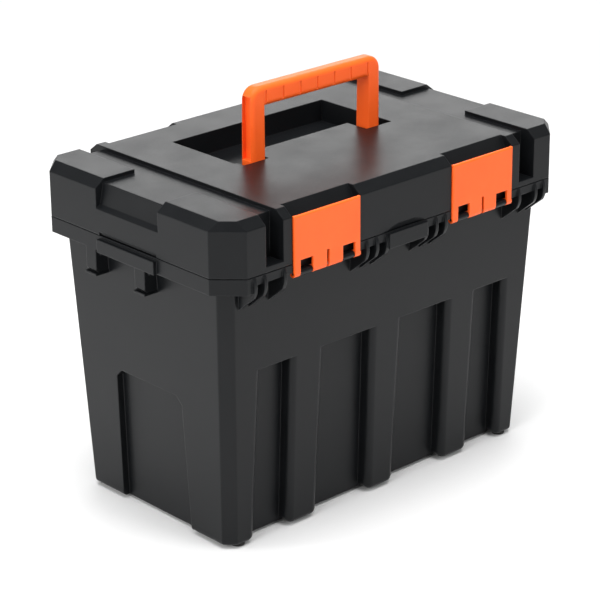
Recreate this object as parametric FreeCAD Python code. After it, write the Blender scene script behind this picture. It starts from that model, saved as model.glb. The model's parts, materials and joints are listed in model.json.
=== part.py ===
import FreeCAD, Part

import math
import os

# Deep plastic toolbox with a lift-out tray.  X runs along the long side, -Y is the front with the
# two latches, +Y the back with the hinges, +Z is up.  The origin lies on the floor, under the
# middle of the box.  All sizes are millimetres.

V = FreeCAD.Vector

# ---- driving dimensions ----------------------------------------------------------------------
LENGTH = 400.0            # over the rim, along X
DEPTH = 248.0             # over the rim, along Y
RIM_CHAMFER = 21.5        # plan chamfer on the four corners of rim and lid
WALL = 2.5                # wall of tub and lid

FOOT_HEIGHT = 3.0
FLANGE_BOTTOM = 248.0     # the tub's wall turns outward here
RIM_TOP = 255.4           # tub's rim, where the lid's skirt comes down
LIP_TOP = 257.9           # upstanding lip inside the lid, just under the lid's pockets
SKIRT_BOTTOM = 241.5      # lower edge of the rim's hanging skirt
LID_BOTTOM = 256.0
LID_SHOULDER = 296.0      # where the lid's outer face turns into its sloped shoulder
LID_LOW = 299.5           # sunk surfaces of the lid: grooves and end zones
LID_TOP = 303.0

# ---- tub --------------------------------------------------------------------------------------
TUB_BASE = (355.0, 189.0, 9.0)      # length, depth, corner chamfer at the floor
TUB_TOP = (375.7, 214.0, 10.0)      # the same at the flange
TUB_FLOOR = 3.0
BASE_ROUND = 4.0
RIB_ROUND = 6.0                     # lower corners of the ribs between the channels
CORNER_ROUND = 2.0
CHANNEL_TOP = 162.0
CHANNEL_DEPTH = 12.5
# inner and outer side of each channel at its top and at the floor
CHANNELS = [((18.7, 74.0), (16.0, 76.5)), ((111.5, 145.5), (110.5, 148.6))]
END_RECESS_TOP = 128.0
END_RECESS_HALF = (43.0, 46.0)      # half width at the top and at the floor
END_RECESS_CHAMFER = 7.0
END_RECESS_DEPTH = 6.5
LIP_INSET = 3.4                     # lid wall plus clearance
LIP_THICK = 2.5
LEDGE_INSET = 7.5                   # inner side of the rim above the ledge
SKIRT_INNER_X = 171.0               # the skirt stops here on the long sides
GUSSET_X = [23.3, 35.3, 46.6, 139.0, 160.0, 171.0]
GUSSET_THICK = 3.2
GUSSET_BELLY = 2.2                  # its outer edge bulges this far past the rim
GUSSET_DROP = 19.5                  # its foot lies this far under the skirt
FRONT_BOSS_HALF = 22.5
FRONT_BOSS_PROUD = 3.5
END_BOSS_HALF = 37.0
END_BOSS_PROUD = 3.5
END_BOSS_TOP = 253.0
LUG_Y = [49.5, -14.5]
LUG_WIDTH = 13.0
LUG_REACH = 200.0
LUG_BOTTOM = 218.5
LUG_CHAMFER = 3.0
LUG_SOLE = (0.6, 1.0, 2.0)          # overhang at the sides and in front, and thickness
LUG_STUD = (2.2, 2.0, 237.0)        # radius, length, height of its axis
FOOT_X = 161.0
FOOT_Y = 86.5
FOOT_RADIUS = 6.0

# ---- lid ---------------------------------------------------------------------------------------
LID_TOP_OUTLINE = (382.0, 230.0, 9.7)
PLATEAU_HALF = 139.0                # raised middle of the lid
PAD_INNER = 158.0                   # inner side of the four raised corner pads
END_ZONE_HALF = 40.0                # half width of the sunk zone between two pads
POCKET_BACK = 107.5                 # back of the four corner pockets
POCKET_FLOOR = 260.8
END_SCOOP_BOTTOM = 278.5            # sunk panels in the end faces
END_SCOOP_LOW = (4.5, 3.0)          # depth of the panel and height of its lower slope
END_SCOOP_HIGH = 8.5                # its depth where it meets the sunk zone on top
LID_RIB_Y = [-92.0, -60.0, 92.0]
LID_RIB_X = 104.0
LID_RIB_HALF = 104.0
LID_RIB_THICK = 1.8
LID_RIB_BOTTOM = 293.0
CATCH_X = (53.9, 129.6)             # latch and hinge recesses, from the middle outwards
CATCH_FLOOR = 262.0                 # only the hinge recesses have a floor
CATCH_OPEN = 250.0                  # the latch recesses run out through the lid's lower edge
CATCH_WALL = 118.5
CATCH_SLOPE_TOP = 109.5
CATCH_SLOPE_BOTTOM = 289.5
RECESS_HALF = 88.5                  # handle recess
RECESS_REAR = 73.4
RECESS_FLOOR = 283.0
TONGUE_REAR = 7.4                   # raised tongue between the handle's legs
TONGUE_HALF = 57.5
NOTCH_FRONT = -16.5
CHEEK_X = (78.2, 81.2)
CHEEK_TOP = 299.0
SCOOP_RADIUS = 12.0                 # finger scoop in the front lower edge
SCOOP_DEPTH = 1.1
SCOOP_HALF = 10.0
SCOOP_FADE = 14.0

# ---- handle ------------------------------------------------------------------------------------
LEG_X = (61.3, 75.8)
LEG_FRONT = -16.0
LEG_DEPTH = 16.0
HANDLE_TOP = 367.0
GRIP_HEIGHT = 18.0
GRIP_SEGMENTS = 6
GRIP_SLIMMER = 1.5                  # grip is this much thinner than the legs
GROOVE_HALF = 1.1
GROOVE_TOP = 363.0
GROOVE_DEPTH = 0.8
GROOVE_END = 2.0                    # first and last groove stand this far inside the legs
LEG_LIP = 2.4                       # lips beside the channel in each leg
LEG_WEB = 4.5                       # depth of that channel
HANDLE_AXIS_Z = 293.3
HANDLE_PIN_RADIUS = 2.5
HANDLE_CORNER = 12.0
HANDLE_EDGE = 4.5

# ---- latches and hinges ------------------------------------------------------------------------
LATCH_X = 91.7
LATCH_HALF = 37.0
LATCH_FRONT = -126.0
LATCH_THICK = 2.6
LATCH_TOP = 296.3
LATCH_AXIS = (-122.6, 246.4)        # y, z
LATCH_SLEEVE = 3.2
LATCH_STEP = -119.0                 # the rim steps back to here behind the sleeve
LATCH_SLOT = 3.0
LATCH_CUT = (16.5, 30.8)            # knuckle cut-outs, from the latch's middle
LATCH_CUT_TOP = 258.0
CATCH_BAR_FRONT = -120.6
CATCH_BAR = (283.0, 287.0)
CATCH_GAP = 0.9                     # the latch's lip passes the bar with this gap
CATCH_BAR_INSET = 11.0              # the bar stops this far short of the recess's sides
LIP_HALF = 26.0
LIP_HEIGHTS = (1.0, 2.2, 5.0)       # underside, nose and root of the lip above the bar's top
LATCH_RAIL = (2.0, 0.5)             # width and thickness of the stiffening rail on each side
LATCH_EDGE = 1.5
KNUCKLE_SIDE_GAP = 0.4
KNUCKLE_SLIMMER = 0.3
LATCH_PIN_RADIUS = 1.5
HINGE_AXIS = (128.4, 255.7)         # y, z
HINGE_KNUCKLE = 4.0
HINGE_TANGENT = (3.2, 2.4)          # where the webs' slopes meet the knuckle, from its axis
HINGE_PIN_RADIUS = 2.0
HINGE_LID_HALF = 19.6
HINGE_TUB = (20.0, 34.0)
PIN_GAP = 0.05                      # running clearance of every pin

# ---- tray --------------------------------------------------------------------------------------
TRAY_WALL = 2.0
TRAY_BOTTOM = 206.0
TRAY_FLANGE = (250.8, 253.0)
TRAY_BASE = (352.0, 190.0, 12.0)
TRAY_MOUTH = (362.0, 200.0, 14.0)
TRAY_RIM = (384.0, 216.0, 14.0)     # narrow in depth, so that it rises past the lid
BRIDGE_TOP = 277.0
BRIDGE_HALF = 62.0
BRIDGE_THICK = 9.0
BRIDGE_SLOPE = 16.0                 # run of its sloped ends
BRIDGE_ROUND = 3.0
BRIDGE_HOLE_ROUND = 5.0
BRIDGE_HOLE = (44.0, 240.0, 267.0)  # half length, bottom, top
DIVIDER_X = 62.0
DIVIDER_THICK = 1.8
DIVIDER_TOP = 246.0
GUIDE_THICK = 1.5
GUIDE_GAP = 0.3
GUIDE_SPINE = (-4.0, -0.5)          # guides on the spine, along Y
GUIDE_FRONT = (-98.5, -92.0)        # guides on the front wall, along Y
DIVIDER_SPAN = (-1.4, -90.5)        # its foot, from the spine to the tray's rounded edge
DIVIDER_BULGE = (-92.6, 4.0)        # end of that edge: place along Y and height over the foot
DIVIDER_SHOULDER = (-96.5, -92.0, 6.0)    # widest and top places along Y, and the slope's height


# ---- helpers -----------------------------------------------------------------------------------
def box(x0, x1, y0, y1, z0, z1):
    low = V(min(x0, x1), min(y0, y1), min(z0, z1))
    return Part.makeBox(abs(x1 - x0), abs(y1 - y0), abs(z1 - z0), low)


def inset(size, thickness):
    """Length, depth and chamfer of an outline moved inwards by one wall thickness."""
    length, depth, chamfer = size
    less_chamfer = (2.0 - math.sqrt(2.0)) * thickness
    return (length - 2 * thickness, depth - 2 * thickness, chamfer - less_chamfer)


def outline(size, z):
    """Rectangle with four chamfered corners, as a closed wire."""
    length, depth, chamfer = size
    hx = length / 2
    hy = depth / 2
    corners = [(-hx + chamfer, -hy), (hx - chamfer, -hy), (hx, -hy + chamfer), (hx, hy - chamfer),
               (hx - chamfer, hy), (-hx + chamfer, hy), (-hx, hy - chamfer), (-hx, -hy + chamfer)]
    points = [V(x, y, z) for x, y in corners]
    return Part.makePolygon(points + points[:1])


def slab(size, z0, z1):
    return Part.Face(outline(size, z0)).extrude(V(0, 0, z1 - z0))


def taper(size0, z0, size1, z1):
    return Part.makeLoft([outline(size0, z0), outline(size1, z1)], True, True)


def ring(size, outer_inset, inner_inset, z0, z1):
    hole = slab(inset(size, inner_inset), z0 - 1, z1 + 1)
    return slab(inset(size, outer_inset), z0, z1).cut(hole)


def rectangle(x0, x1, y0, y1, z):
    points = [V(x0, y0, z), V(x1, y0, z), V(x1, y1, z), V(x0, y1, z)]
    return Part.makePolygon(points + points[:1])


def profile_yz(points, x0, x1):
    """Solid with an outline in the YZ plane, from x0 to x1."""
    corners = [V(x0, y, z) for y, z in points]
    return Part.Face(Part.makePolygon(corners + corners[:1])).extrude(V(x1 - x0, 0, 0))


def profile_xz(points, y0, y1):
    corners = [V(x, y0, z) for x, z in points]
    return Part.Face(Part.makePolygon(corners + corners[:1])).extrude(V(0, y1 - y0, 0))


def rod(radius, x0, x1, y, z):
    low = min(x0, x1)
    return Part.makeCylinder(radius, abs(x1 - x0), V(low, y, z), V(1, 0, 0))


def mirror_x(shape):
    return shape.mirror(V(0, 0, 0), V(1, 0, 0))


def mirror_y(shape):
    return shape.mirror(V(0, 0, 0), V(0, 1, 0))


def left_right(shapes):
    return shapes + [mirror_x(s) for s in shapes]


def front_back(shapes):
    return shapes + [mirror_y(s) for s in shapes]


def rounded(shape, radius, wanted):
    """Fillet every edge for which wanted(edge) holds."""
    edges = [e for e in shape.Edges if wanted(e)]
    return shape.makeFillet(radius, edges)


def edge_span(edge):
    zs = [v.Point.z for v in edge.Vertexes]
    return min(zs), max(zs)


def same(a, b):
    return abs(a - b) < 0.01


def save(shape, name):
    shape = shape.removeSplitter()
    if len(shape.Solids) == 1:
        shape = shape.Solids[0]
    shape.exportStep("parts/" + name + ".step")
    print(name, shape.isValid(), len(shape.Solids), round(shape.Volume / 1000, 1), "cm3")


RIM = (LENGTH, DEPTH, RIM_CHAMFER)


def tub_half(axis, z):
    """Half length (0) or half depth (1) of the drafted tub wall at height z."""
    share = (z - FOOT_HEIGHT) / (FLANGE_BOTTOM - FOOT_HEIGHT)
    return (TUB_BASE[axis] + (TUB_TOP[axis] - TUB_BASE[axis]) * share) / 2


# ---- tub ---------------------------------------------------------------------------------------
def channels(grow):
    """Upright channels sunk into the long walls; grow thickens them to shape the inside."""
    result = []
    z0 = FOOT_HEIGHT - 1
    z1 = CHANNEL_TOP + grow
    for (top_in, top_out), (base_in, base_out) in CHANNELS:
        wires = []
        for z, x0, x1 in ((z0, base_in, base_out), (z1, top_in, top_out)):
            half = tub_half(1, z)
            wires.append(rectangle(x0 - grow, x1 + grow, -half - 1, -half + CHANNEL_DEPTH + grow, z))
        result.append(Part.makeLoft(wires, True, True))
    return front_back(left_right(result))


def end_recesses(grow):
    """Shallow panels sunk into both end walls, with chamfered upper corners."""
    z0 = FOOT_HEIGHT - 1
    z1 = END_RECESS_TOP + grow
    top, base = END_RECESS_HALF
    top += grow
    base += grow
    chamfer = END_RECESS_CHAMFER
    wires = []
    for outward in (1.0, -END_RECESS_DEPTH - grow):
        corners = [(-base, z0), (base, z0), (top, z1 - chamfer), (top - chamfer, z1),
                   (chamfer - top, z1), (-top, z1 - chamfer)]
        points = [V(-tub_half(0, z) - outward, y, z) for y, z in corners]
        wires.append(Part.makePolygon(points + points[:1]))
    return left_right([Part.makeLoft(wires, True, True)])


def gusset(x):
    """Upright rib under the rim with a rounded outer edge and a sloped foot."""
    inner = -tub_half(1, FLANGE_BOTTOM) + 1
    foot_z = SKIRT_BOTTOM - GUSSET_DROP
    foot = V(x, -tub_half(1, foot_z) + 0.5, foot_z)
    top_out = V(x, -DEPTH / 2 + 0.2, RIM_TOP - 0.2)
    belly = V(x, -DEPTH / 2 - GUSSET_BELLY, SKIRT_BOTTOM + 4)
    chin = V(x, -DEPTH / 2 + 0.6, SKIRT_BOTTOM - 4.7)
    step_top = V(x, -DEPTH / 2 + 3, RIM_TOP - 0.2)
    step_foot = V(x, -DEPTH / 2 + 3, FLANGE_BOTTOM + 1)
    top_in = V(x, inner, FLANGE_BOTTOM + 1)
    wire = Part.Wire([Part.makeLine(top_in, step_foot),
                      Part.makeLine(step_foot, step_top),
                      Part.makeLine(step_top, top_out),
                      Part.Arc(top_out, belly, chin).toShape(),
                      Part.makeLine(chin, foot),
                      Part.makeLine(foot, top_in)])
    return Part.Face(wire).extrude(V(GUSSET_THICK, 0, 0))


def latch_knuckles():
    """Tub knuckles that stand in the latch's cut-outs, with their webs to the rim."""
    y, z = LATCH_AXIS
    result = []
    for offset in (-1, 1):
        x0 = LATCH_X + offset * (LATCH_CUT[0] + KNUCKLE_SIDE_GAP)
        x1 = LATCH_X + offset * (LATCH_CUT[1] - KNUCKLE_SIDE_GAP)
        radius = LATCH_SLEEVE - KNUCKLE_SLIMMER
        result.append(rod(radius, x0, x1, y, z))
        result.append(box(x0, x1, y, LATCH_STEP + 1, z - radius, z + radius - KNUCKLE_SLIMMER))
    return left_right(result)


def hinge_knuckles(spans, web_low, web_high):
    """Round knuckles on the hinge axis, with webs that join them to the rim or to the lid."""
    y, z = HINGE_AXIS
    result = []
    for a, b in spans:
        x0 = LATCH_X + a
        x1 = LATCH_X + b
        result.append(rod(HINGE_KNUCKLE, x0, x1, y, z))
        result.append(box(x0, x1, DEPTH / 2 - 2, y, web_low, web_high))
        dy, dz = HINGE_TANGENT
        root = DEPTH / 2 - 0.5
        slope = [(root, web_low), (y, web_low), (y + dy, z - dz), (y, z + dz), (root, web_high)]
        if web_high > z + HINGE_KNUCKLE:
            slope = [(root, web_low), (y, z - dz), (y + dy, z + dz), (y, web_high), (root, web_high)]
        result.append(profile_yz(slope, x0, x1))
    return left_right(result)


def lugs():
    """Hanging lugs under the rim at both ends."""
    result = []
    for y in LUG_Y:
        x_wall = -tub_half(0, LUG_BOTTOM) + 1
        corners = [(x_wall, SKIRT_BOTTOM + 7), (-LUG_REACH + LUG_CHAMFER, SKIRT_BOTTOM + 7),
                   (-LUG_REACH, SKIRT_BOTTOM), (-LUG_REACH, LUG_BOTTOM + 4),
                   (-LUG_REACH + LUG_CHAMFER, LUG_BOTTOM + 1), (x_wall, LUG_BOTTOM + 1)]
        body = profile_xz(corners, y - LUG_WIDTH / 2, y + LUG_WIDTH / 2)
        side, front, thick = LUG_SOLE
        sole = box(-LUG_REACH - front, x_wall, y - LUG_WIDTH / 2 - side, y + LUG_WIDTH / 2 + side,
                   LUG_BOTTOM + 1.2 - thick, LUG_BOTTOM + 1.2)
        radius, length, height = LUG_STUD
        stud_base = V(-LUG_REACH + 2 * LUG_CHAMFER, y - LUG_WIDTH / 2 + 0.2, height)
        stud = Part.makeCylinder(radius, length, stud_base, V(0, -1, 0))
        result += [body, sole, stud]
    return left_right(result)


def rib_corner(edge):
    """Lower edges along Y, where a channel's side meets the base."""
    bounds = edge.BoundBox
    at_base = same(bounds.ZMin, FOOT_HEIGHT) and same(bounds.ZMax, FOOT_HEIGHT)
    by_channel = abs(bounds.XMin) < CHANNELS[1][1][1] + 1
    return at_base and by_channel and bounds.XLength < 0.1 and bounds.YLength > 2


def make_tub():
    body = taper(TUB_BASE, FOOT_HEIGHT, TUB_TOP, FLANGE_BOTTOM)
    body = rounded(body, BASE_ROUND, lambda e: same(edge_span(e)[1], FOOT_HEIGHT))
    body = rounded(body, CORNER_ROUND, lambda e: edge_span(e)[1] - edge_span(e)[0] > 200)
    body = body.cut(channels(0.0) + end_recesses(0.0))
    body = rounded(body, RIB_ROUND, rib_corner)

    solids = [slab(RIM, FLANGE_BOTTOM, FLANGE_BOTTOM + WALL),
              ring(RIM, 0.0, LEDGE_INSET, FLANGE_BOTTOM, RIM_TOP),
              ring(RIM, LIP_INSET, LIP_INSET + LIP_THICK, FLANGE_BOTTOM, LIP_TOP)]
    skirt = ring(RIM, 0.0, WALL, SKIRT_BOTTOM, FLANGE_BOTTOM + 1)
    skirt = skirt.cut(box(-SKIRT_INNER_X, SKIRT_INNER_X, -DEPTH, DEPTH, 0, LID_TOP))
    solids.append(skirt)
    for x in GUSSET_X:
        solids += front_back(left_right([gusset(x - GUSSET_THICK / 2)]))

    front = -DEPTH / 2 - FRONT_BOSS_PROUD
    boss = box(-FRONT_BOSS_HALF, FRONT_BOSS_HALF, front, -DEPTH / 2 + 6, SKIRT_BOTTOM, RIM_TOP - 0.6)
    hollow = box(-FRONT_BOSS_HALF + WALL, FRONT_BOSS_HALF - WALL, front + WALL, -DEPTH / 2 + 7,
                 SKIRT_BOTTOM - 1, FLANGE_BOTTOM)
    solids.append(boss.cut(hollow))
    end = LENGTH / 2 + END_BOSS_PROUD
    end_boss = box(-end, -LENGTH / 2 + 3, -END_BOSS_HALF, END_BOSS_HALF, SKIRT_BOTTOM, END_BOSS_TOP)
    end_hollow = box(-end + WALL, -LENGTH / 2 + 4, -END_BOSS_HALF + WALL, END_BOSS_HALF - WALL,
                     SKIRT_BOTTOM - 1, FLANGE_BOTTOM)
    solids += left_right([end_boss.cut(end_hollow)])
    solids += lugs()

    tub = body.fuse(solids)

    # the rim steps back behind each latch, to make room for the latch's sleeve
    step = box(LATCH_X - LATCH_HALF - 0.6, LATCH_X + LATCH_HALF + 0.6,
               -DEPTH / 2 - 6, LATCH_STEP, SKIRT_BOTTOM - 8, RIM_TOP + 0.1)
    lip_gap = box(CATCH_X[0] - 3, CATCH_X[1] + 3, -DEPTH / 2, -DEPTH / 2 + 9, RIM_TOP, LIP_TOP + 1)
    tub = tub.cut(left_right([step, lip_gap]))
    tub = tub.fuse(latch_knuckles())
    hinge_spans = [HINGE_TUB, (-HINGE_TUB[1], -HINGE_TUB[0])]
    tub = tub.fuse(hinge_knuckles(hinge_spans, HINGE_AXIS[1] - 9, HINGE_AXIS[1] - 0.5))

    # inside: the drafted cavity keeps clear of the channels and recesses
    inner_top = inset(TUB_TOP, WALL)
    cavity = taper(inset(TUB_BASE, WALL), FOOT_HEIGHT + TUB_FLOOR, inner_top, FLANGE_BOTTOM)
    cavity = cavity.cut(channels(WALL) + end_recesses(WALL))
    mouth = slab(inner_top, FLANGE_BOTTOM - 0.5, LIP_TOP + 1)
    tub = tub.cut([cavity, mouth])

    bores = [rod(LATCH_PIN_RADIUS + PIN_GAP, LATCH_X - 40, LATCH_X + 40, *LATCH_AXIS),
             rod(HINGE_PIN_RADIUS + PIN_GAP, LATCH_X - 40, LATCH_X + 40, *HINGE_AXIS)]
    return tub.cut(left_right(bores))


# ---- lid ---------------------------------------------------------------------------------------
def sunk_zones(grow):
    """Two grooves across the lid and the end zones between the corner pads."""
    z0 = LID_LOW - grow
    z1 = LID_TOP + 5
    groove = box(-PAD_INNER - grow, -PLATEAU_HALF + grow, -DEPTH, DEPTH, z0, z1)
    zone = box(-LENGTH, -PAD_INNER, -END_ZONE_HALF - grow, END_ZONE_HALF + grow, z0, z1)
    return left_right([groove, zone])


def corner_pockets(grow):
    pocket = box(-PAD_INNER - grow, -PLATEAU_HALF + grow, -DEPTH, -POCKET_BACK + grow,
                 POCKET_FLOOR - grow, LID_TOP + 5)
    return front_back(left_right([pocket]))


def catch_recesses(grow):
    """Recesses with a sloped back: two in front for the latches, two behind for the hinges."""
    wall = -CATCH_WALL + grow
    recesses = []
    for floor in (CATCH_OPEN, CATCH_FLOOR - grow):
        points = [(-DEPTH, floor), (wall, floor), (wall, CATCH_SLOPE_BOTTOM),
                  (-CATCH_SLOPE_TOP + grow, LID_TOP), (-CATCH_SLOPE_TOP + grow, LID_TOP + 5),
                  (-DEPTH, LID_TOP + 5)]
        recesses.append(profile_yz(points, CATCH_X[0] - grow, CATCH_X[1] + grow))
    front, rear = recesses
    return left_right([front, mirror_y(rear)])


def handle_recess(grow):
    z0 = RECESS_FLOOR - grow
    z1 = LID_TOP + 5
    main = box(-RECESS_HALF - grow, RECESS_HALF + grow, TONGUE_REAR - grow, RECESS_REAR + grow, z0, z1)
    notch = box(TONGUE_HALF - grow, RECESS_HALF + grow, NOTCH_FRONT - grow, TONGUE_REAR + 1, z0, z1)
    return [main] + left_right([notch])


def end_scoops(grow):
    depth, slope = END_SCOOP_LOW
    low_x = -LENGTH / 2 + depth + grow
    high_x = -LENGTH / 2 + END_SCOOP_HIGH + grow
    points = [(-LENGTH, END_SCOOP_BOTTOM - grow), (-LENGTH / 2, END_SCOOP_BOTTOM - grow),
              (low_x, END_SCOOP_BOTTOM + slope - grow), (high_x, LID_LOW), (high_x, LID_TOP + 5),
              (-LENGTH, LID_TOP + 5)]
    return left_right([profile_xz(points, -END_ZONE_HALF - grow, END_ZONE_HALF + grow)])


def lid_cuts(grow):
    return (sunk_zones(grow) + corner_pockets(grow) + catch_recesses(grow)
            + handle_recess(grow) + end_scoops(grow))


def make_lid():
    outer = slab(RIM, LID_BOTTOM, LID_SHOULDER).fuse(taper(RIM, LID_SHOULDER, LID_TOP_OUTLINE, LID_TOP))
    outer = outer.removeSplitter()
    outer = rounded(outer, 1.2, lambda e: edge_span(e)[1] > LID_BOTTOM + 1)
    lid = outer.cut(lid_cuts(0.0))

    inner = inset(RIM, WALL)
    inner_top = inset(LID_TOP_OUTLINE, WALL)
    cavity = slab(inner, LID_BOTTOM - 1, LID_SHOULDER - 1)
    cavity = cavity.fuse(taper(inner, LID_SHOULDER - 1, inner_top, LID_TOP - WALL))
    cavity = cavity.cut(lid_cuts(WALL))

    # stiffening ribs under the top
    ribs = []
    long_half = PLATEAU_HALF - 4
    half = LID_RIB_THICK / 2
    for y in LID_RIB_Y:
        ribs.append(box(-long_half, long_half, y - half, y + half, LID_RIB_BOTTOM, LID_TOP))
    ribs += left_right([box(LID_RIB_X, LID_RIB_X + LID_RIB_THICK, -LID_RIB_HALF, LID_RIB_HALF,
                            LID_RIB_BOTTOM, LID_TOP)])
    cavity = cavity.cut(ribs)
    lid = lid.cut(cavity)

    bar = box(CATCH_X[0] + CATCH_BAR_INSET, CATCH_X[1] - CATCH_BAR_INSET,
              CATCH_BAR_FRONT, -CATCH_WALL + 0.5, *CATCH_BAR)
    cheek = box(CHEEK_X[0], CHEEK_X[1], NOTCH_FRONT - 0.5, 1.0, RECESS_FLOOR - 0.5, CHEEK_TOP)
    lid = lid.fuse(left_right([bar, cheek]))
    hinge_spans = [(-HINGE_LID_HALF, HINGE_LID_HALF)]
    lid = lid.fuse(hinge_knuckles(hinge_spans, HINGE_AXIS[1] + 0.5, HINGE_AXIS[1] + 10))

    # finger scoop over the front boss and pry gaps over the end bosses
    scoop_y = -DEPTH / 2 - SCOOP_RADIUS + SCOOP_DEPTH
    scoop = rod(SCOOP_RADIUS, -SCOOP_HALF, SCOOP_HALF, scoop_y, LID_BOTTOM)
    fade = Part.makeCone(SCOOP_RADIUS, SCOOP_RADIUS - SCOOP_DEPTH - 0.1, SCOOP_FADE,
                         V(SCOOP_HALF, scoop_y, LID_BOTTOM), V(1, 0, 0))
    gap = box(-LENGTH / 2 - 1, -LENGTH / 2 + 1.5, -END_BOSS_HALF, END_BOSS_HALF,
              LID_BOTTOM - 1, LID_BOTTOM + 2.5)
    bore = rod(HANDLE_PIN_RADIUS + PIN_GAP, TONGUE_HALF - WALL - 3, CHEEK_X[1] + 1,
               LEG_FRONT + LEG_DEPTH / 2, HANDLE_AXIS_Z)
    hinge_bore = rod(HINGE_PIN_RADIUS + PIN_GAP, LATCH_X - 40, LATCH_X + 40, *HINGE_AXIS)
    return lid.cut([scoop] + left_right([fade, gap, bore, hinge_bore]))


# ---- handle ------------------------------------------------------------------------------------
def make_handle():
    y0 = LEG_FRONT
    y1 = LEG_FRONT + LEG_DEPTH
    axis_y = (y0 + y1) / 2
    x_in, x_out = LEG_X

    # legs get a little slimmer towards the grip and end round below the pivot
    leg_points = [(y0, HANDLE_AXIS_Z), (y0, HANDLE_TOP),
                  (y1 - GRIP_SLIMMER, HANDLE_TOP), (y1, HANDLE_AXIS_Z)]
    leg = profile_yz(leg_points, x_in, x_out)
    leg = leg.fuse(rod(LEG_DEPTH / 2, x_in, x_out, axis_y, HANDLE_AXIS_Z)).removeSplitter()
    grip_bottom = HANDLE_TOP - GRIP_HEIGHT
    slimmer = GRIP_SLIMMER * (grip_bottom - HANDLE_AXIS_Z) / (HANDLE_TOP - HANDLE_AXIS_Z)
    grip_points = [(y0, grip_bottom), (y0, HANDLE_TOP), (y1 - GRIP_SLIMMER, HANDLE_TOP),
                   (y1 - slimmer, grip_bottom)]
    grip = profile_yz(grip_points, -x_in - 1, x_in + 1)
    handle = grip.fuse(left_right([leg])).removeSplitter()

    def long_top_edge(edge):
        low, high = edge_span(edge)
        along_x = edge.BoundBox.XLength > 50
        return along_x and same(low, high) and high > grip_bottom - 1

    def outer_corner(edge):
        low, high = edge_span(edge)
        return same(low, HANDLE_TOP) and edge.BoundBox.YLength > 5 and edge.BoundBox.XLength < 1

    handle = rounded(handle, HANDLE_CORNER, outer_corner)
    handle = rounded(handle, HANDLE_EDGE, long_top_edge)

    # sunk channel along the outer side of each leg
    channel = box(-x_out - 1, -x_out + LEG_WEB, y0 + LEG_LIP, y1 - LEG_LIP - 1.0,
                  HANDLE_AXIS_Z + 10, HANDLE_TOP - 8)
    handle = handle.cut(left_right([channel]))

    # shallow grooves divide the grip into finger segments
    pitch = 2 * (x_in - GROOVE_END) / GRIP_SEGMENTS
    z0 = grip_bottom
    for i in range(GRIP_SEGMENTS + 1):
        x = -x_in + GROOVE_END + i * pitch
        around = box(x - GROOVE_HALF, x + GROOVE_HALF, y0 - 1, y1, z0 - 1, GROOVE_TOP)
        core = box(x - 2, x + 2, y0 + GROOVE_DEPTH, y1 - GRIP_SLIMMER - GROOVE_DEPTH,
                   z0 + GROOVE_DEPTH, HANDLE_TOP)
        handle = handle.cut(around.cut(core))

    bore = rod(HANDLE_PIN_RADIUS + PIN_GAP, -x_out - 5, x_out + 5, axis_y, HANDLE_AXIS_Z)
    return handle.cut(bore)


def make_handle_pin():
    return rod(HANDLE_PIN_RADIUS, TONGUE_HALF - WALL - 1, CHEEK_X[1] + 0.5,
               LEG_FRONT + LEG_DEPTH / 2, HANDLE_AXIS_Z)


# ---- latch -------------------------------------------------------------------------------------
def make_latch():
    """Flap that turns on its lower pin; its lip clears the lid's catch bar by CATCH_GAP."""
    y_axis, z_axis = LATCH_AXIS
    back = LATCH_FRONT + LATCH_THICK
    x0 = LATCH_X - LATCH_HALF
    x1 = LATCH_X + LATCH_HALF
    plate = box(x0, x1, LATCH_FRONT, back, z_axis, LATCH_TOP)

    def front_edge(edge):
        bounds = edge.BoundBox
        upright = bounds.ZLength > 20 and same(bounds.YMin, LATCH_FRONT)
        top = same(bounds.ZMin, LATCH_TOP) and same(bounds.YMin, LATCH_FRONT) and bounds.YLength < 1
        return upright or top

    plate = rounded(plate, LATCH_EDGE, front_edge)
    sleeve = rod(LATCH_SLEEVE, x0, x1, y_axis, z_axis)
    width, rail = LATCH_RAIL
    rails = [box(x0, x0 + width, back - rail, back + rail, LATCH_CUT_TOP, LATCH_TOP),
             box(x1 - width, x1, back - rail, back + rail, LATCH_CUT_TOP, LATCH_TOP)]
    lip_y = CATCH_BAR_FRONT - CATCH_GAP
    under, nose, root = (CATCH_BAR[1] + height for height in LIP_HEIGHTS)
    lip_points = [(back - rail, under), (lip_y, under), (lip_y, nose), (back - rail, root)]
    lip = profile_yz(lip_points, LATCH_X - LIP_HALF, LATCH_X + LIP_HALF)
    latch = plate.fuse([sleeve, lip] + rails)
    cutters = []
    for offset in (-1, 1):
        cutters.append(box(LATCH_X + offset * LATCH_CUT[0], LATCH_X + offset * LATCH_CUT[1],
                           LATCH_FRONT - 1, y_axis + LATCH_SLEEVE + 1,
                           z_axis - LATCH_SLEEVE - 1, LATCH_CUT_TOP))
    cutters.append(box(LATCH_X - LATCH_SLOT / 2, LATCH_X + LATCH_SLOT / 2,
                       LATCH_FRONT - 1, y_axis + LATCH_SLEEVE + 1,
                       z_axis - LATCH_SLEEVE - 1, LATCH_CUT_TOP + 1.5))
    cutters.append(rod(LATCH_PIN_RADIUS + PIN_GAP, x0 - 1, x1 + 1, y_axis, z_axis))
    return latch.cut(cutters)


def make_latch_pin():
    return rod(LATCH_PIN_RADIUS, LATCH_X - LATCH_HALF + 0.5, LATCH_X + LATCH_HALF - 0.5, *LATCH_AXIS)


def make_hinge_pin():
    return rod(HINGE_PIN_RADIUS, LATCH_X - HINGE_TUB[1] - 1, LATCH_X + HINGE_TUB[1] + 1, *HINGE_AXIS)


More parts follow.
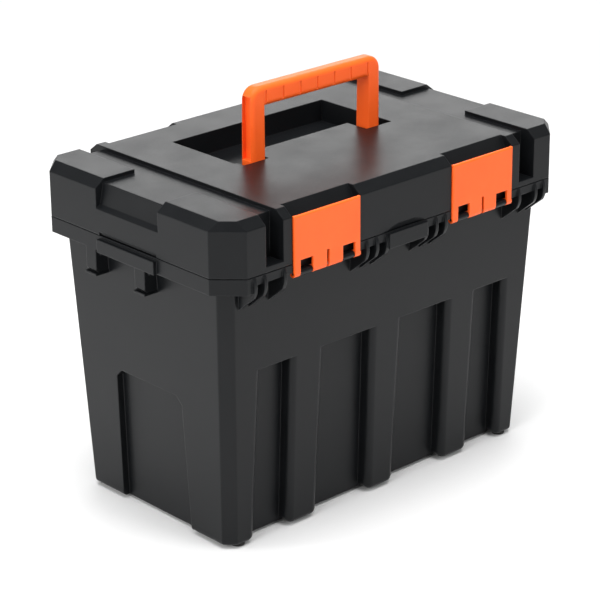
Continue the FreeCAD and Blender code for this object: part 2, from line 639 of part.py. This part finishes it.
# ---- tray --------------------------------------------------------------------------------------
def make_tray():
    """Lift-out tray: it hangs by its flange on the tub's inner ledge."""
    shell = taper(TRAY_BASE, TRAY_BOTTOM, TRAY_MOUTH, TRAY_FLANGE[1])
    shell = rounded(shell, 3.0, lambda e: same(edge_span(e)[1], TRAY_BOTTOM))
    flange = slab(TRAY_RIM, *TRAY_FLANGE)
    tray = shell.fuse(flange)

    hollow = taper(inset(TRAY_BASE, TRAY_WALL), TRAY_BOTTOM + TRAY_WALL,
                   inset(TRAY_MOUTH, TRAY_WALL), TRAY_FLANGE[1] + 0.01)
    tray = tray.cut(hollow)

    # spine across the middle, which rises into the carrying bridge
    half = TRAY_BASE[0] / 2
    spine = box(-half + 1, half - 1, -1.0, 1.0, TRAY_BOTTOM + 1, TRAY_FLANGE[1])
    foot = BRIDGE_HALF + BRIDGE_SLOPE
    shape = [(-foot, TRAY_FLANGE[1] - 4), (foot, TRAY_FLANGE[1] - 4),
             (BRIDGE_HALF, BRIDGE_TOP), (-BRIDGE_HALF, BRIDGE_TOP)]
    bridge = profile_xz(shape, -BRIDGE_THICK / 2, BRIDGE_THICK / 2)

    def upper_edge(edge):
        return edge.BoundBox.ZMax > TRAY_FLANGE[1] and edge.BoundBox.YLength < 1

    bridge = rounded(bridge, BRIDGE_ROUND, upper_edge)
    half_hole, hole_bottom, hole_top = BRIDGE_HOLE
    hole = box(-half_hole, half_hole, -BRIDGE_THICK, BRIDGE_THICK, hole_bottom, hole_top)
    hole = rounded(hole, BRIDGE_HOLE_ROUND, lambda e: e.BoundBox.YLength > BRIDGE_THICK)
    tray = tray.fuse([spine, bridge]).cut(hole)

    # guide ribs that hold the loose dividers in the front half
    guides = []
    for x in (-DIVIDER_X, DIVIDER_X):
        for offset in (-1, 1):
            near = DIVIDER_THICK / 2 + GUIDE_GAP
            x0 = x + offset * near
            x1 = x + offset * (near + GUIDE_THICK)
            guides.append(box(x0, x1, *GUIDE_SPINE, TRAY_BOTTOM + 1, DIVIDER_TOP))
            guides.append(box(x0, x1, *GUIDE_FRONT, TRAY_BOTTOM + 1, DIVIDER_TOP - DIVIDER_SHOULDER[2]))
    cut_back = taper(TRAY_BASE, TRAY_BOTTOM, TRAY_MOUTH, TRAY_FLANGE[1])
    guides = [g.common(cut_back) for g in guides]
    return tray.fuse(guides)


def make_divider():
    """Loose divider plate between the spine and the tray's front wall."""
    foot_z = TRAY_BOTTOM + TRAY_WALL
    inner, outer = DIVIDER_SPAN
    bulge, bulge_height = DIVIDER_BULGE
    widest, top, slope = DIVIDER_SHOULDER
    points = [(inner, foot_z), (outer, foot_z), (bulge, foot_z + bulge_height),
              (widest, DIVIDER_TOP - slope), (top, DIVIDER_TOP), (inner, DIVIDER_TOP)]
    return profile_yz(points, DIVIDER_X - DIVIDER_THICK / 2, DIVIDER_X + DIVIDER_THICK / 2)


def make_foot():
    foot = Part.makeCylinder(FOOT_RADIUS, FOOT_HEIGHT, V(FOOT_X, FOOT_Y, 0))
    return rounded(foot, 1.0, lambda e: same(edge_span(e)[1], 0.0) and e.BoundBox.XLength > 1)


os.makedirs("parts", exist_ok=True)
save(make_tub(), "tub")
save(make_lid(), "lid")
save(make_handle(), "handle")
save(make_tray(), "tray")
for piece, name in ((make_handle_pin(), "handle_pin"), (make_latch(), "latch"),
                    (make_latch_pin(), "latch_pin"), (make_hinge_pin(), "hinge_pin"),
                    (make_divider(), "tray_divider")):
    save(piece, name + "_right")
    save(mirror_x(piece), name + "_left")
foot = make_foot()
save(foot, "foot_back_right")
save(mirror_x(foot), "foot_back_left")
save(mirror_y(foot), "foot_front_right")
save(mirror_x(mirror_y(foot)), "foot_front_left")
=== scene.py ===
import json
import math

import bpy
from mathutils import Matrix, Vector

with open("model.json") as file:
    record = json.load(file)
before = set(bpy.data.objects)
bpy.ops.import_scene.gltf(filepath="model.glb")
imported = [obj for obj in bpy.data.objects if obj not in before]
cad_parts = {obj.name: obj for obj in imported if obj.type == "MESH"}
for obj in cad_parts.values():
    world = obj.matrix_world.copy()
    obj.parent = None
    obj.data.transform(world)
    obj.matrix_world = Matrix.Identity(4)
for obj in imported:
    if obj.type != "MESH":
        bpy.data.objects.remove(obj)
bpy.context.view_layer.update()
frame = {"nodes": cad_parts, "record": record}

# ---- camera, fitted to the photo: lengths in metres, lens and sensor in millimetres ---------------
CAMERA_AZIMUTH = math.radians(42.6)
CAMERA_ELEVATION = math.radians(21.94)
CAMERA_ROLL = math.radians(-0.47)
CAMERA_DISTANCE = 2.1982
CAMERA_TARGET = Vector((0.01692, 0.02685, 0.140))
CAMERA_LENS = 146.0
CAMERA_SENSOR = 36.0

# ---- colours -----------------------------------------------------------------------------------
WHITE = (1.0, 1.0, 1.0, 1.0)
# The worn colours lighten random patches and the edges. On the edges they are partly rubbed wear and
# partly a painted highlight.
BODY_COLOUR = (0.0056, 0.0062, 0.0070, 1.0)
BODY_WORN_AND_HIGHLIGHT = (0.0180, 0.0190, 0.0205, 1.0)
TRAY_COLOUR = (0.0190, 0.0200, 0.0220, 1.0)
TRAY_WORN_AND_HIGHLIGHT = (0.0420, 0.0430, 0.0450, 1.0)
ORANGE_COLOUR = (0.980, 0.118, 0.014, 1.0)
ORANGE_WORN_AND_HIGHLIGHT = (0.980, 0.250, 0.060, 1.0)
STEEL_COLOUR = (0.52, 0.52, 0.53, 1.0)
STEEL_DULL = (0.38, 0.38, 0.38, 1.0)
RUBBER_COLOUR = (0.012, 0.012, 0.012, 1.0)
RUBBER_DUST = (0.05, 0.048, 0.045, 1.0)
FLOOR_COLOUR = (0.90, 0.90, 0.90, 1.0)
FLOOR_SHADE = (0.88, 0.88, 0.88, 1.0)

# ---- the three plastics: edge radius and grain depth in metres ------------------------------------
PLASTICS = {
    "body_plastic": dict(colour=BODY_COLOUR, worn_and_highlight=BODY_WORN_AND_HIGHLIGHT, roughness=0.34, edge_radius=0.0012,
                         grain_depth=0.00010, gloss=0.20),
    "tray_plastic": dict(colour=TRAY_COLOUR, worn_and_highlight=TRAY_WORN_AND_HIGHLIGHT, roughness=0.42, edge_radius=0.0006,
                         grain_depth=0.00010, gloss=0.35),
    "orange_plastic": dict(colour=ORANGE_COLOUR, worn_and_highlight=ORANGE_WORN_AND_HIGHLIGHT, roughness=0.38,
                           edge_radius=0.0007, grain_depth=0.00007, gloss=0.30),
}
PLASTIC_IOR = 1.49
EDGE_SAMPLES = 8
EDGE_COSINES = (0.995, 0.80)    # flat face, sharp edge

# ---- surface patterns: noise cells per metre, bump depths in metres, bump strengths ---------------
GRAIN_SCALE = 1500.0
GRAIN_STRENGTH = 0.55
PATCH_SCALE = 26.0
HANDLING_SCALE = 180.0
SINK_SCALE = 9.0
SINK_DEPTH = 0.0012
SINK_STRENGTH = 0.35
WIRE_SCALES = (20.0, 2600.0, 2600.0)
WIRE_DEPTH = 0.00005
WIRE_STRENGTH = 0.4
STEEL_DULL_SCALE = 90.0
RUBBER_GRAIN_SCALE = 900.0
RUBBER_GRAIN_DEPTH = 0.0002
RUBBER_GRAIN_STRENGTH = 0.5
RUBBER_DUST_SCALE = 140.0

# ---- floor and studio, with lengths in metres ----------------------------------------------------
FLOOR_HALF = 12.0
FLOOR_SHADE_SCALE = 3.0
FLOOR_ROUGHNESS = 0.9
FLOOR_GLOSS = 0.1
FLOOR_GLOW_FROM = 1.2
FLOOR_GLOW_FULL = 3.5
FLOOR_GLOW = 0.62
WORLD_STRENGTH = 0.30
MIDDLE = (0.0, 0.0, 0.2)

MID_RANGE = (0.3, 0.7)    # where most of a noise texture's values lie
UNIT = (0.0, 1.0)

# Sockets of the Mix node when it mixes colours.
MIX_FACTOR = 0
MIX_FIRST = 6
MIX_SECOND = 7
MIX_RESULT = 2


# ---- node helpers ------------------------------------------------------------------------------
def new_material(name):
    material = bpy.data.materials.new(name)
    material.use_nodes = True
    tree = material.node_tree
    return material, tree, tree.nodes["Principled BSDF"]


def object_place(tree):
    return tree.nodes.new("ShaderNodeTexCoord").outputs["Object"]


def noise(tree, coordinates, scale, detail=2.0, roughness=0.5):
    node = tree.nodes.new("ShaderNodeTexNoise")
    node.inputs["Scale"].default_value = scale
    node.inputs["Detail"].default_value = detail
    node.inputs["Roughness"].default_value = roughness
    tree.links.new(coordinates, node.inputs["Vector"])
    return node.outputs["Fac"]


def remap(tree, value, source, target):
    """Maps the range source onto the range target, and holds values past either end."""
    node = tree.nodes.new("ShaderNodeMapRange")
    node.inputs["From Min"].default_value, node.inputs["From Max"].default_value = source
    node.inputs["To Min"].default_value, node.inputs["To Max"].default_value = target
    tree.links.new(value, node.inputs["Value"])
    return node.outputs["Result"]


def math_node(tree, operation, first, second):
    node = tree.nodes.new("ShaderNodeMath")
    node.operation = operation
    for socket, value in zip(node.inputs, (first, second)):
        tree.links.new(value, socket)
    return node.outputs[0]


def bump(tree, height, distance, strength, normal=None):
    node = tree.nodes.new("ShaderNodeBump")
    node.inputs["Distance"].default_value = distance
    node.inputs["Strength"].default_value = strength
    tree.links.new(height, node.inputs["Height"])
    if normal:
        tree.links.new(normal, node.inputs["Normal"])
    return node.outputs["Normal"]


def mix_colour(tree, factor, first, second):
    node = tree.nodes.new("ShaderNodeMix")
    node.data_type = "RGBA"
    node.inputs[MIX_FIRST].default_value = first
    node.inputs[MIX_SECOND].default_value = second
    tree.links.new(factor, node.inputs[MIX_FACTOR])
    return node.outputs[MIX_RESULT]


def soft_edge(tree, radius):
    """Rounded edge normal, and a mask that is one on sharp edges and zero on flat faces."""
    bevel = tree.nodes.new("ShaderNodeBevel")
    bevel.samples = EDGE_SAMPLES
    bevel.inputs["Radius"].default_value = radius
    geometry = tree.nodes.new("ShaderNodeNewGeometry")
    dot = tree.nodes.new("ShaderNodeVectorMath")
    dot.operation = "DOT_PRODUCT"
    tree.links.new(bevel.outputs["Normal"], dot.inputs[0])
    tree.links.new(geometry.outputs["True Normal"], dot.inputs[1])
    return bevel.outputs["Normal"], remap(tree, dot.outputs["Value"], EDGE_COSINES, UNIT)


# ---- materials ---------------------------------------------------------------------------------
def moulded_plastic(name, colour, worn_and_highlight, roughness, edge_radius, grain_depth, gloss):
    """Satin polypropylene: fine spark-eroded grain, slow sink waves, and lighter edges that are
    partly rubbed wear and partly a painted highlight.
    """
    material, tree, shader = new_material(name)
    place = object_place(tree)
    edge_normal, edge = soft_edge(tree, edge_radius)
    grain = noise(tree, place, GRAIN_SCALE, 3.0, 0.6)
    patches = noise(tree, place, PATCH_SCALE, 5.0, 0.6)
    handling = noise(tree, place, HANDLING_SCALE, 4.0, 0.65)
    sink = noise(tree, place, SINK_SCALE, 1.0)

    # Edges are lightened towards the worn colour: partly rubbed wear, partly a painted highlight
    # along the edges.
    edge_wear_and_highlight = math_node(tree, "MULTIPLY", edge, remap(tree, handling, (0.35, 0.70), (0.15, 0.85)))
    haze = remap(tree, patches, (0.35, 0.75), (0.0, 0.14))
    tree.links.new(mix_colour(tree, math_node(tree, "MAXIMUM", edge_wear_and_highlight, haze), colour, worn_and_highlight),
                   shader.inputs["Base Color"])

    rough = remap(tree, patches, MID_RANGE, (roughness - 0.035, roughness + 0.045))
    rough = math_node(tree, "ADD", rough, remap(tree, grain, MID_RANGE, (-0.02, 0.03)))
    tree.links.new(math_node(tree, "SUBTRACT", rough, remap(tree, edge, UNIT, (0.0, 0.06))),
                   shader.inputs["Roughness"])

    normal = bump(tree, sink, SINK_DEPTH, SINK_STRENGTH, edge_normal)
    tree.links.new(bump(tree, grain, grain_depth, GRAIN_STRENGTH, normal), shader.inputs["Normal"])
    shader.inputs["IOR"].default_value = PLASTIC_IOR
    shader.inputs["Specular IOR Level"].default_value = gloss
    return material


def drawn_steel(name):
    """Drawn wire: fine lines along X and a slightly uneven shine."""
    material, tree, shader = new_material(name)
    place = object_place(tree)
    stretch = tree.nodes.new("ShaderNodeMapping")
    stretch.inputs["Scale"].default_value = WIRE_SCALES
    tree.links.new(place, stretch.inputs["Vector"])
    lines = noise(tree, stretch.outputs["Vector"], 1.0, 3.0)
    tree.links.new(remap(tree, lines, MID_RANGE, (0.24, 0.42)), shader.inputs["Roughness"])
    tree.links.new(bump(tree, lines, WIRE_DEPTH, WIRE_STRENGTH), shader.inputs["Normal"])
    dull = noise(tree, place, STEEL_DULL_SCALE, 3.0)
    tree.links.new(mix_colour(tree, dull, STEEL_COLOUR, STEEL_DULL), shader.inputs["Base Color"])
    shader.inputs["Metallic"].default_value = 1.0
    return material


def foot_rubber(name):
    """Dull black rubber with a fine grain and a little dust."""
    material, tree, shader = new_material(name)
    place = object_place(tree)
    grain = noise(tree, place, RUBBER_GRAIN_SCALE, 4.0, 0.7)
    dust = remap(tree, noise(tree, place, RUBBER_DUST_SCALE, 5.0), (0.45, 0.75), (0.0, 0.5))
    tree.links.new(mix_colour(tree, dust, RUBBER_COLOUR, RUBBER_DUST), shader.inputs["Base Color"])
    tree.links.new(remap(tree, grain, MID_RANGE, (0.75, 0.9)), shader.inputs["Roughness"])
    tree.links.new(bump(tree, grain, RUBBER_GRAIN_DEPTH, RUBBER_GRAIN_STRENGTH),
                   shader.inputs["Normal"])
    return material


def floor_material(name):
    """Pale paper that glows a little far from the object, so that it stays pale in the distance."""
    material, tree, shader = new_material(name)
    place = object_place(tree)
    shade = noise(tree, place, FLOOR_SHADE_SCALE, 3.0)
    tree.links.new(mix_colour(tree, shade, FLOOR_COLOUR, FLOOR_SHADE), shader.inputs["Base Color"])
    distance = tree.nodes.new("ShaderNodeVectorMath")
    distance.operation = "LENGTH"
    tree.links.new(place, distance.inputs[0])
    glow = remap(tree, distance.outputs["Value"], (FLOOR_GLOW_FROM, FLOOR_GLOW_FULL),
                 (0.0, FLOOR_GLOW))
    tree.links.new(glow, shader.inputs["Emission Strength"])
    shader.inputs["Emission Color"].default_value = WHITE
    shader.inputs["Roughness"].default_value = FLOOR_ROUGHNESS
    shader.inputs["Specular IOR Level"].default_value = FLOOR_GLOSS
    return material


def make_materials():
    """One material for each slot in the record."""
    materials = {name: moulded_plastic(name, **look) for name, look in PLASTICS.items()}
    materials["pin_steel"] = drawn_steel("pin_steel")
    materials["foot_rubber"] = foot_rubber("foot_rubber")
    return materials


# ---- looks of the CAD nodes --------------------------------------------------------------------
def dress(materials):
    """Gives each node the material of its slot."""
    for entry in frame["record"]["subparts"]:
        node = frame["nodes"][entry["node"]]
        node.data.materials.clear()
        node.data.materials.append(materials[entry["material_slot"]])


# ---- studio ------------------------------------------------------------------------------------
def link(thing):
    bpy.context.collection.objects.link(thing)


def camera_axes():
    """The camera's right, up and back directions, from its azimuth, elevation and roll."""
    cos_azimuth, sin_azimuth = math.cos(CAMERA_AZIMUTH), math.sin(CAMERA_AZIMUTH)
    cos_elevation, sin_elevation = math.cos(CAMERA_ELEVATION), math.sin(CAMERA_ELEVATION)
    cos_roll, sin_roll = math.cos(CAMERA_ROLL), math.sin(CAMERA_ROLL)
    back = Vector((-sin_azimuth * cos_elevation, -cos_azimuth * cos_elevation, sin_elevation))
    right = Vector((cos_azimuth, -sin_azimuth, 0.0))
    up = back.cross(right)
    return right * cos_roll + up * sin_roll, up * cos_roll - right * sin_roll, back


def make_camera():
    right, up, back = camera_axes()
    data = bpy.data.cameras.new("camera")
    data.lens = CAMERA_LENS
    data.sensor_width = CAMERA_SENSOR
    camera = bpy.data.objects.new("camera", data)
    link(camera)
    matrix = camera.matrix_world.copy()
    for column, axis in enumerate((right, up, back, CAMERA_TARGET + back * CAMERA_DISTANCE)):
        for row in range(3):
            matrix[row][column] = axis[row]
    camera.matrix_world = matrix
    bpy.context.scene.camera = camera


def make_floor():
    mesh = bpy.data.meshes.new("floor")
    corners = [(-FLOOR_HALF, -FLOOR_HALF, 0), (FLOOR_HALF, -FLOOR_HALF, 0),
               (FLOOR_HALF, FLOOR_HALF, 0), (-FLOOR_HALF, FLOOR_HALF, 0)]
    mesh.from_pydata(corners, [], [(0, 1, 2, 3)])
    floor = bpy.data.objects.new("floor", mesh)
    link(floor)
    mesh.materials.append(floor_material("floor_paper"))


def make_world():
    world = bpy.data.worlds.new("studio")
    world.use_nodes = True
    background = world.node_tree.nodes["Background"]
    background.inputs["Color"].default_value = WHITE
    background.inputs["Strength"].default_value = WORLD_STRENGTH
    bpy.context.scene.world = world


def area_light(name, place, target, size, watts, in_reflections=True):
    data = bpy.data.lights.new(name, "AREA")
    data.shape = "RECTANGLE"
    data.size, data.size_y = size
    data.energy = watts
    light = bpy.data.objects.new(name, data)
    link(light)
    light.visible_glossy = in_reflections
    light.location = place
    light.rotation_mode = "QUATERNION"
    light.rotation_quaternion = (Vector(target) - Vector(place)).to_track_quat("-Z", "Y")


def make_lights():
    """Softboxes at the rear right, above, in front and to the left, and a strip at the rear left."""
    area_light("rear_softbox", (2.2, 2.2, 1.5), (0.1, 0.0, 0.3), (2.6, 1.6), 28.0)
    area_light("top_softbox", (-0.1, -0.1, 1.7), (0.0, 0.0, 0.0), (1.5, 1.5), 40.0,
               in_reflections=False)
    area_light("front_softbox", (0.5, -2.0, 1.3), MIDDLE, (0.9, 0.9), 12.0, in_reflections=False)
    area_light("left_softbox", (-2.0, -0.5, 1.0), MIDDLE, (0.8, 0.8), 17.0, in_reflections=False)
    area_light("rear_left_strip", (-1.6, 0.85, 0.75), (-0.2, 0.0, 0.2), (0.25, 0.7), 6.0)


make_camera()
dress(make_materials())
make_floor()
make_world()
make_lights()
bpy.context.scene.view_settings.view_transform = "Standard"
